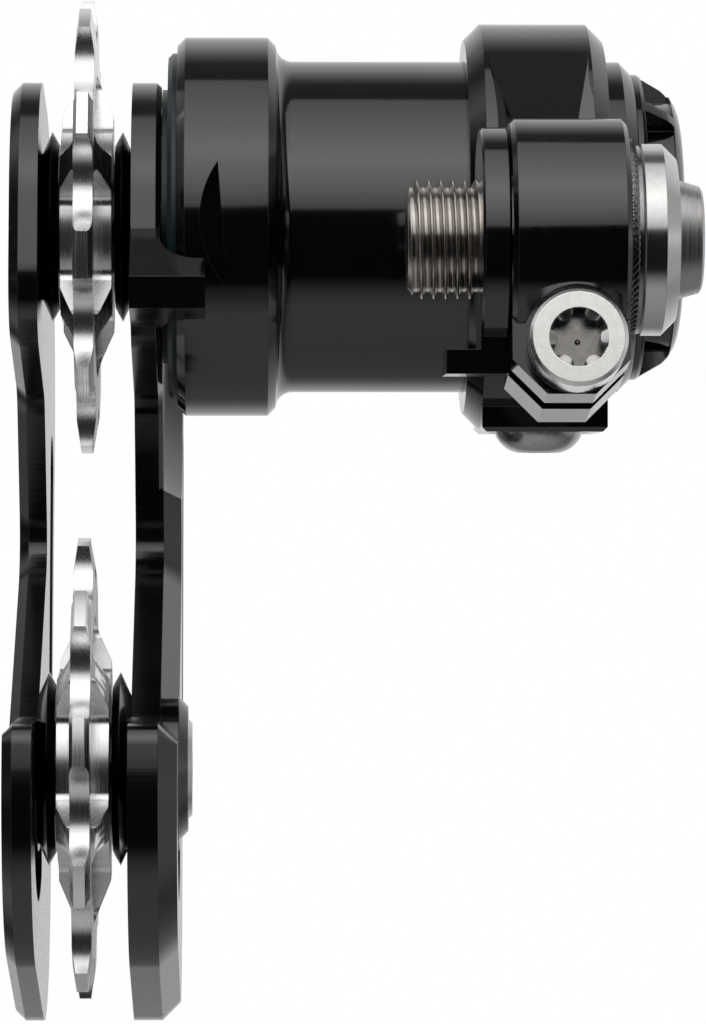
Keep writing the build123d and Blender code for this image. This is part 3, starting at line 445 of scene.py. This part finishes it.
# Solids inside the housing and the pulleys: they keep their own mesh
INNER_FINISH = {
    "bush_polymer": "bush_polymer",
    "bearing_steel": "ground_steel",
    "spring_steel": "drawn_wire",
    "stainless": "upper_steel",
    "dust_cap": "upper_gloss",
}


# Pieces

def object_of(name, mesh, materials):
    """Puts a finished mesh into the scene."""
    data = bpy.data.meshes.new(name)
    mesh.to_mesh(data)
    mesh.free()
    for material in materials:
        data.materials.append(material)
    shape = bpy.data.objects.new(name, data)
    bpy.context.scene.collection.objects.link(shape)
    return shape


def piece(name, mesh, node, *finishes, stands=True):
    """Moves with the node's body, and stands for the node or only adds to it."""
    shape = object_of(name, mesh, [FINISHES[finish] for finish in finishes])
    even = shape.modifiers.new("even_shading", "WEIGHTED_NORMAL")
    even.keep_sharp = True
    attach(shape, BODY_OF[node])
    if stands:
        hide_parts(node)


def box_mm(node):
    return [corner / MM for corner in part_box(node)]


def crease(mesh):
    """Shades the faces smoothly, apart from sharp edges."""
    for face in mesh.faces:
        face.smooth = True
    for edge in mesh.edges:
        edge.smooth = edge.calc_face_angle(0) < CREASE_ANGLE


def close_up(mesh):
    """Turns every face of a new shape outwards and creases it."""
    bmesh.ops.recalc_face_normals(mesh, faces=mesh.faces)
    crease(mesh)


def welded(node):
    """The node's triangles joined into one skin, with flat faces made whole."""
    mesh = bmesh.new()
    mesh.from_mesh(frame["nodes"][node].data)
    bmesh.ops.remove_doubles(mesh, verts=mesh.verts, dist=WELD)
    bmesh.ops.dissolve_limit(mesh, angle_limit=FLAT_ANGLE, verts=mesh.verts, edges=mesh.edges)
    return mesh


def skin(node, finish):
    mesh = welded(node)
    crease(mesh)
    piece(node + "_skin", mesh, node, finish)


def lathe(profile, steps, closed=False, axle=HANGER):
    """Spins (x, radius) points in millimetres about a level axle."""
    mesh = bmesh.new()
    points = [mesh.verts.new((x * MM, axle.y - radius * MM, axle.z)) for x, radius in profile]
    pairs = list(zip(points, points[1:]))
    if closed:
        pairs.append((points[-1], points[0]))
    edges = [mesh.edges.new(pair) for pair in pairs]
    bmesh.ops.spin(
        mesh, geom=points + edges, cent=axle, axis=(1, 0, 0),
        angle=2 * math.pi, steps=steps, use_merge=True,
    )
    bmesh.ops.remove_doubles(mesh, verts=mesh.verts, dist=WELD)
    return mesh


def set_radius(vert, radius):
    across = Vector((0, vert.co.y, vert.co.z)).normalized() * radius
    vert.co.y = across.y
    vert.co.z = across.z


def thread_radius(x, angle, crest_r):
    """Radius of a right-hand 60 degree thread, with flats at crest and root."""
    turn = (x / THREAD_PITCH - angle / (2 * math.pi)) % 1.0
    off_crest = abs(2 * turn - 1)
    share = (off_crest - CREST_FLAT) / (1 - CREST_FLAT - ROOT_FLAT)
    return crest_r - THREAD_DEPTH * min(max(share, 0.0), 1.0)


def hex_socket(mesh, rim_x):
    """Closes the bolt's open end at rim_x with its hexagon socket."""
    rim = [
        edge for edge in mesh.edges
        if edge.is_boundary and all(abs(vert.co.x - rim_x * MM) < WELD for vert in edge.verts)
    ]
    place = Matrix.Translation((rim_x * MM, 0, 0)) @ Matrix.Rotation(math.pi / 2, 4, "Y")
    corner_r = BOLT_SOCKET_CORNER_R * MM
    mouth = bmesh.ops.create_circle(mesh, segments=6, radius=corner_r, matrix=place)["verts"]
    mouth_edges = list({edge for vert in mouth for edge in vert.link_edges})
    bmesh.ops.translate(mesh, verts=mouth, vec=(-BOLT_SOCKET_LEAD * MM, 0, 0))
    walls = bmesh.ops.extrude_edge_only(mesh, edges=mouth_edges)["geom"]
    foot = [item for item in walls if isinstance(item, bmesh.types.BMVert)]
    foot_edges = [item for item in walls if isinstance(item, bmesh.types.BMEdge)]
    bmesh.ops.translate(mesh, verts=foot, vec=(-BOLT_SOCKET_DEPTH * MM, 0, 0))
    bmesh.ops.bridge_loops(mesh, edges=rim + mouth_edges)
    floor = bmesh.ops.contextual_create(mesh, geom=foot_edges)["faces"]
    bmesh.ops.poke(mesh, faces=floor, offset=0.0)


def hanger_bolt():
    """Flanged bolt with the real helix of its thread."""
    low, high = box_mm("hanger_bolt")
    thread_r = MOUNT["hanger_thread"]["dims"]["r_mm"]
    tip_x, end_x = low.x, high.x
    flange_r = high.y
    boss_x = end_x - BOLT_BOSS_T
    flange_x = boss_x - BOLT_FLANGE_T
    row_step = THREAD_PITCH / THREAD_ROWS
    thread_x = [tip_x + row_step * row for row in range(round(-tip_x / row_step))]
    socket_r = BOLT_SOCKET_CORNER_R + BOLT_SOCKET_LEAD
    profile = [(tip_x, 0)]
    profile += [(x, min(thread_r, thread_r - THREAD_LEAD_IN + x - tip_x)) for x in thread_x]
    profile += [
        (0, thread_r),
        (0, BOLT_SHANK_R),
        (flange_x, BOLT_SHANK_R),
        (flange_x, flange_r - BOLT_ROUND),
        (flange_x + BOLT_ROUND, flange_r),
        (boss_x - BOLT_FLANGE_CHAMFER, flange_r),
        (boss_x, flange_r - BOLT_FLANGE_CHAMFER),
        (boss_x, BOLT_BOSS_R),
        (end_x - BOLT_ROUND, BOLT_BOSS_END_R + BOLT_ROUND / 2),
        (end_x, BOLT_BOSS_END_R - BOLT_ROUND),
        (end_x, socket_r),
    ]
    mesh = lathe(profile, BOLT_STEPS)
    for vert in mesh.verts:
        x = vert.co.x / MM
        radius = math.hypot(vert.co.y, vert.co.z) / MM
        if x < -row_step / 2 and radius > WELD:
            angle = math.atan2(vert.co.z, vert.co.y)
            set_radius(vert, min(radius, thread_radius(x, angle, thread_r)) * MM)
    hex_socket(mesh, end_x)
    close_up(mesh)
    for edge in mesh.edges:
        if max(vert.co.x for vert in edge.verts) < -row_step / 2 * MM:
            edge.smooth = True
    for face in mesh.faces:
        middle = face.calc_center_median() / MM
        if middle.x < 0:
            face.material_index = 1
        elif middle.x > boss_x and math.hypot(middle.y, middle.z) < BOLT_BOSS_R:
            face.material_index = 2
    piece("hanger_bolt_threaded", mesh, "hanger_bolt", "hanger_steel", "thread_steel", "boss_steel")


def lock_washer():
    """Serrated washer: fine slanting teeth round its inboard rim, stepped in under the bolt's flange."""
    low, high = box_mm("lock_washer")
    rim_r = high.y
    rows = [low.x + WASHER_TOOTH_WIDTH * row / (WASHER_ROWS - 1) for row in range(WASHER_ROWS)]
    bore_r = BOLT_SHANK_R + WASHER_BORE_ROOM
    step_r = rim_r - WASHER_RECESS
    profile = [(low.x, bore_r)] + [(x, rim_r) for x in rows]
    profile += [(rows[-1], step_r), (high.x, step_r), (high.x, bore_r)]
    mesh = lathe(profile, WASHER_TEETH * WASHER_STEPS_PER_TOOTH, closed=True)
    for vert in mesh.verts:
        radius = math.hypot(vert.co.y, vert.co.z) / MM
        if radius > (step_r + rim_r) / 2:
            turn = math.atan2(vert.co.z, vert.co.y) / (2 * math.pi) * WASHER_TEETH
            lean = (vert.co.x / MM - low.x) / WASHER_TOOTH_WIDTH * WASHER_SLANT
            tooth = 0.5 + 0.5 * math.cos(2 * math.pi * (turn + lean))
            set_radius(vert, (rim_r - WASHER_TOOTH_DEPTH * tooth) * MM)
    close_up(mesh)
    piece("lock_washer_serrated", mesh, "lock_washer", "washer_steel")


def pinch_screw():
    """Its socket has a cone at the mouth and a pip in the middle of its floor."""
    mesh = welded("pinch_screw")
    to_screw = PINCH_FRAME.inverted()

    def placed(point):
        local = to_screw @ point / MM
        return local, math.hypot(local.x, local.z)

    def in_socket(face):
        middle, radius = placed(face.calc_center_median())
        return PINCH_FACE + PINCH_BELOW_FACE < middle.y < PINCH_SEAT and radius < PINCH_SOCKET_R

    walls = [face for face in mesh.faces if in_socket(face)]
    parts = {part for face in walls for part in (face, *face.edges, *face.verts)}
    lead_at = PINCH_FRAME @ Vector((0, (PINCH_FACE + PINCH_SOCKET_LEAD) * MM, 0))
    axis = PINCH_FRAME.to_3x3() @ Vector((0, 1, 0))
    bmesh.ops.bisect_plane(mesh, geom=list(parts), plane_co=lead_at, plane_no=axis)
    for vert in mesh.verts:
        local, radius = placed(vert.co)
        if abs(local.y - PINCH_FACE) < PINCH_ON_FACE and radius < PINCH_SOCKET_R:
            widen = PINCH_SOCKET_R / radius
            vert.co = PINCH_FRAME @ (Vector((local.x * widen, local.y, local.z * widen)) * MM)
    foot_r, tip_r = (radius * MM for radius in PINCH_PIP_R)
    pip_at = Matrix.Translation((0, PINCH_SOCKET_FLOOR * MM, 0)) @ Matrix.Rotation(math.pi / 2, 4, "X")
    bmesh.ops.create_cone(
        mesh, cap_ends=True, segments=PINCH_PIP_STEPS, radius1=foot_r, radius2=tip_r,
        depth=2 * PINCH_PIP_RISE * MM, matrix=PINCH_FRAME @ pip_at,
    )
    crease(mesh)
    # The socket's walls and the cone at its mouth take darker steels than the head: painted shade in the
    # recess
    for face in mesh.faces:
        if in_socket(face):
            middle, _ = placed(face.calc_center_median())
            face.material_index = 1 if middle.y > PINCH_FACE + PINCH_SOCKET_LEAD else 2
    piece("pinch_screw_skin", mesh, "pinch_screw", "pinch_steel", "painted_socket_shade", "lock_steel_and_painted_mouth_shade")


def dust_cap(wheel, side, axle, finish):
    """Conical cap between a pulley's hub and a plate, with a sharp ridge."""
    node = f"{wheel}_{side}_dust_cap"
    low, high = box_mm(node)
    hub_low, hub_high = box_mm(wheel + "_pulley_wheel")
    if side == "outer":
        race_x, back_x, plate_x, way = low.x, hub_high.x + CAP_GAP, high.x, 1
    else:
        race_x, back_x, plate_x, way = high.x, hub_low.x - CAP_GAP, low.x, -1
    profile = [
        (race_x, CAP_BORE_R),
        (race_x, CAP_SLEEVE_R),
        (back_x, CAP_SLEEVE_R),
        (back_x, CAP_BACK_R),
        (back_x + way * CAP_RIDGE_IN, high.z - axle.z / MM),
        (plate_x, CAP_FOOT_R),
        (plate_x, CAP_BORE_R),
    ]
    mesh = lathe(profile, CAP_STEPS, closed=True, axle=axle)
    close_up(mesh)
    piece(node + "_turned", mesh, node, finish)


def pulley_boss_root():
    """The lower pulley bolt's boss carried on down to the thin part of the carrier plate."""
    start_x, end_x = BOSS_ROOT_X
    profile = [(start_x, BOSS_BORE_R), (start_x, BOSS_ROOT_R), (end_x, BOSS_ROOT_R), (end_x, BOSS_BORE_R)]
    mesh = lathe(profile, CAP_STEPS, closed=True, axle=LOWER_AXLE)
    close_up(mesh)
    piece("pulley_boss_root", mesh, "outer_cage_plate", "cage_black", stands=False)


def plane_off(mesh, point, facing):
    """Cuts away what lies outside a plane and closes the cut."""
    whole = [*mesh.verts, *mesh.edges, *mesh.faces]
    cut = bmesh.ops.bisect_plane(mesh, geom=whole, plane_co=point, plane_no=facing, clear_outer=True)
    rim = [item for item in cut["geom_cut"] if isinstance(item, bmesh.types.BMEdge)]
    bmesh.ops.contextual_create(mesh, geom=rim)


def knuckle_web():
    """Its top runs on inside the ring, and its foot ends on the boss."""
    ring_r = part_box("clamp_knuckle")[1].z - PIVOT.z
    along = Vector((1, 0, 0))
    down = Vector((0, -math.sin(WEB_SLOPE), -math.cos(WEB_SLOPE)))
    inward = Vector((0, math.cos(WEB_SLOPE), -math.sin(WEB_SLOPE)))
    start = Vector((0, PIVOT.y, PIVOT.z)) - inward * ring_r

    def at(x, run, depth):
        return start + (along * x + down * run + inward * depth) * MM

    left_x, right_x = WEB_SPAN
    lead, lead_depth = WEB_LEAD
    ring_root, boss_root = WEB_ROOT
    profile = ((-lead, lead_depth), (0, 0), (WEB_LENGTH, 0), (WEB_LENGTH, boss_root), (-lead, ring_root))
    mesh = bmesh.new()
    flank = bmesh.ops.contextual_create(
        mesh, geom=[mesh.verts.new(at(left_x, run, depth)) for run, depth in profile],
    )["faces"]
    other = bmesh.ops.extrude_face_region(mesh, geom=flank)["geom"]
    other_verts = [item for item in other if isinstance(item, bmesh.types.BMVert)]
    bmesh.ops.translate(mesh, verts=other_verts, vec=along * (right_x - left_x) * MM)
    bmesh.ops.recalc_face_normals(mesh, faces=mesh.faces)
    for side, (edge_x, come_in, steep) in ((-along, WEB_LEFT_BEVEL), (along, WEB_RIGHT_BEVEL)):
        plane_off(mesh, at(edge_x, 0, 0), (side + down * come_in) * steep - inward)
    turn, boss_x = WEB_CORNER
    plane_off(mesh, at(left_x, turn, 0), -along * (WEB_LENGTH - turn) + down * (boss_x - left_x))
    close_up(mesh)
    piece("knuckle_web", mesh, "clamp_knuckle", "knuckle_black", stands=False)


def dress():
    for node, finish in SHOWN.items():
        skin(node, finish)
    hanger_bolt()
    lock_washer()
    pinch_screw()
    for side in ("inner", "outer"):
        dust_cap("upper", side, PIVOT, "upper_gloss")
        dust_cap("lower", side, LOWER_AXLE, "lower_gloss")
    pulley_boss_root()
    knuckle_web()
    for node, shape in frame["nodes"].items():
        shape.data.materials.clear()
        shape.data.materials.append(FINISHES[INNER_FINISH.get(SLOT_OF[node], "housing_black")])


# Studio

def add_camera():
    data = bpy.data.cameras.new("camera")
    data.sensor_fit = "AUTO"
    data.sensor_width = SENSOR
    data.lens = SENSOR * FOCAL_PX / IMAGE_HEIGHT
    data.clip_start = CLIP_NEAR
    data.clip_end = CLIP_FAR
    camera = bpy.data.objects.new("camera", data)
    bpy.context.scene.collection.objects.link(camera)
    camera.location = CAMERA_AT
    yaw = math.atan((IMAGE_WIDTH / 2 - AXIS_PX) / FOCAL_PX)
    camera.rotation_euler = (math.pi / 2, 0, -yaw)
    bpy.context.scene.camera = camera


def grey_ramp(tree, share, stops):
    """Brightness along a 0 to 1 share, through (share, level) stops."""
    ramp = wire(tree, "ShaderNodeValToRGB", {0: share})
    marks = ramp.color_ramp.elements
    while len(marks) < len(stops):
        marks.new(0.5)
    for mark, (position, level) in zip(marks, stops):
        mark.position = position
        mark.color = (level, level, level, 1)
    return ramp.outputs[0]


def fade_between(tree, value, span, low=0.0, high=1.0):
    return wire(
        tree, "ShaderNodeMapRange",
        {"Value": value, "From Min": span[0], "From Max": span[1], "To Min": low, "To Max": high},
    ).outputs[0]


def stage_object(name, mesh, material):
    shape = object_of(name, mesh, [material])
    return shape


def add_softbox():
    """One broad panel, from above the object down to just over the camera's line of sight."""
    span = SOFTBOX_TOP - SOFTBOX_FOOT
    up = span.normalized()
    across = Vector((1, 0, 0))
    turn = Matrix((across, up, across.cross(up))).transposed().to_4x4()
    size = Matrix.Diagonal((SOFTBOX_WIDTH, span.length, 1, 1))
    material = bpy.data.materials.new("softbox_cloth")
    material.use_nodes = True
    tree = material.node_tree
    tree.nodes.remove(tree.nodes["Principled BSDF"])
    place = wire(tree, "ShaderNodeTexCoord").outputs["Object"]
    height = wire(tree, "ShaderNodeSeparateXYZ", {0: place}).outputs["Y"]
    glow = grey_ramp(tree, fade_between(tree, height, (-0.5, 0.5)), GLOW)
    cloth = wire(tree, "ShaderNodeEmission", {"Color": glow, "Strength": SOFTBOX_RADIANCE})
    tree.links.new(cloth.outputs[0], tree.nodes["Material Output"].inputs["Surface"])
    mesh = bmesh.new()
    bmesh.ops.create_grid(mesh, x_segments=1, y_segments=1, size=0.5)
    panel = stage_object("softbox", mesh, material)
    panel.matrix_world = Matrix.Translation((SOFTBOX_TOP + SOFTBOX_FOOT) / 2) @ turn @ size
    panel.visible_camera = False


def add_room():
    """White behind, dark in front below the softbox, dim below and on the left, with pale walls beside."""
    world = bpy.data.worlds.new("room")
    world.use_nodes = True
    tree = world.node_tree
    way = wire(tree, "ShaderNodeTexCoord").outputs["Generated"]
    parts = wire(tree, "ShaderNodeSeparateXYZ", {0: way}).outputs
    toward = maths(tree, "MULTIPLY", parts["Y"], -1.0)
    angle = maths(tree, "ARCTAN2", parts["Z"], toward)
    share = fade_between(tree, angle, (-math.pi, math.pi))
    ring = grey_ramp(tree, share, [((degrees + 180) / 360, level) for degrees, level in ROOM])
    shade = fade_between(tree, parts["X"], LEFT_FADE, LEFT_LEVEL)
    dimmed = maths(tree, "MULTIPLY", ring, shade)
    wall = fade_between(tree, parts["X"], RIGHT_WALL, 0.0, RIGHT_LEVEL)
    level = maths(tree, "MAXIMUM", dimmed, wall)
    for sideways, along, most in LEFT_WALLS:
        wide = fade_between(tree, parts["X"], sideways, 0.0, most)
        deep = fade_between(tree, parts["Y"], along)
        level = maths(tree, "MAXIMUM", level, maths(tree, "MULTIPLY", wide, deep))
    mirrored = tree.nodes["Background"]
    tree.links.new(level, mirrored.inputs["Color"])
    plain = wire(tree, "ShaderNodeBackground", {"Color": (1, 1, 1, 1)})
    seen = wire(tree, "ShaderNodeLightPath").outputs["Is Camera Ray"]
    pick = wire(tree, "ShaderNodeMixShader", {0: seen, 1: mirrored.outputs[0], 2: plain.outputs[0]})
    tree.links.new(pick.outputs[0], tree.nodes["World Output"].inputs["Surface"])
    bpy.context.scene.world = world


def add_floor():
    """A round pale table top under the object, fading out at its rim."""
    middle = (cad_low + cad_high) / 2
    centre = Vector((middle.x, middle.y, cad_low.z - FLOOR_DROP))
    material = bpy.data.materials.new("pale_floor")
    material.use_nodes = True
    tree = material.node_tree
    top = tree.nodes["Principled BSDF"]
    top.inputs["Roughness"].default_value = FLOOR_ROUGHNESS
    top.inputs["Base Color"].default_value = (FLOOR_GREY, FLOOR_GREY, FLOOR_GREY, 1)
    top.inputs["Emission Color"].default_value = (1, 1, 1, 1)
    seen = wire(tree, "ShaderNodeLightPath").outputs["Is Camera Ray"]
    tree.links.new(fade_between(tree, seen, (0.0, 1.0), 0.0, FLOOR_LIFT), top.inputs["Emission Strength"])
    place = wire(tree, "ShaderNodeTexCoord").outputs["Object"]
    round_place = wire(
        tree, "ShaderNodeMapping",
        {"Vector": place, "Location": centre, "Scale": (FLOOR_R, FLOOR_R, FLOOR_R)},
        vector_type="TEXTURE",
    ).outputs[0]
    fade = wire(tree, "ShaderNodeTexGradient", {"Vector": round_place}, gradient_type="SPHERICAL")
    tree.links.new(fade_between(tree, fade.outputs["Fac"], FLOOR_FADE), top.inputs["Alpha"])
    mesh = bmesh.new()
    bmesh.ops.create_circle(
        mesh, cap_ends=True, segments=FLOOR_STEPS, radius=FLOOR_R, matrix=Matrix.Translation(centre),
    )
    stage_object("floor", mesh, material)


dress()
add_camera()
add_softbox()
add_room()
add_floor()
bpy.context.scene.view_settings.view_transform = "Standard"
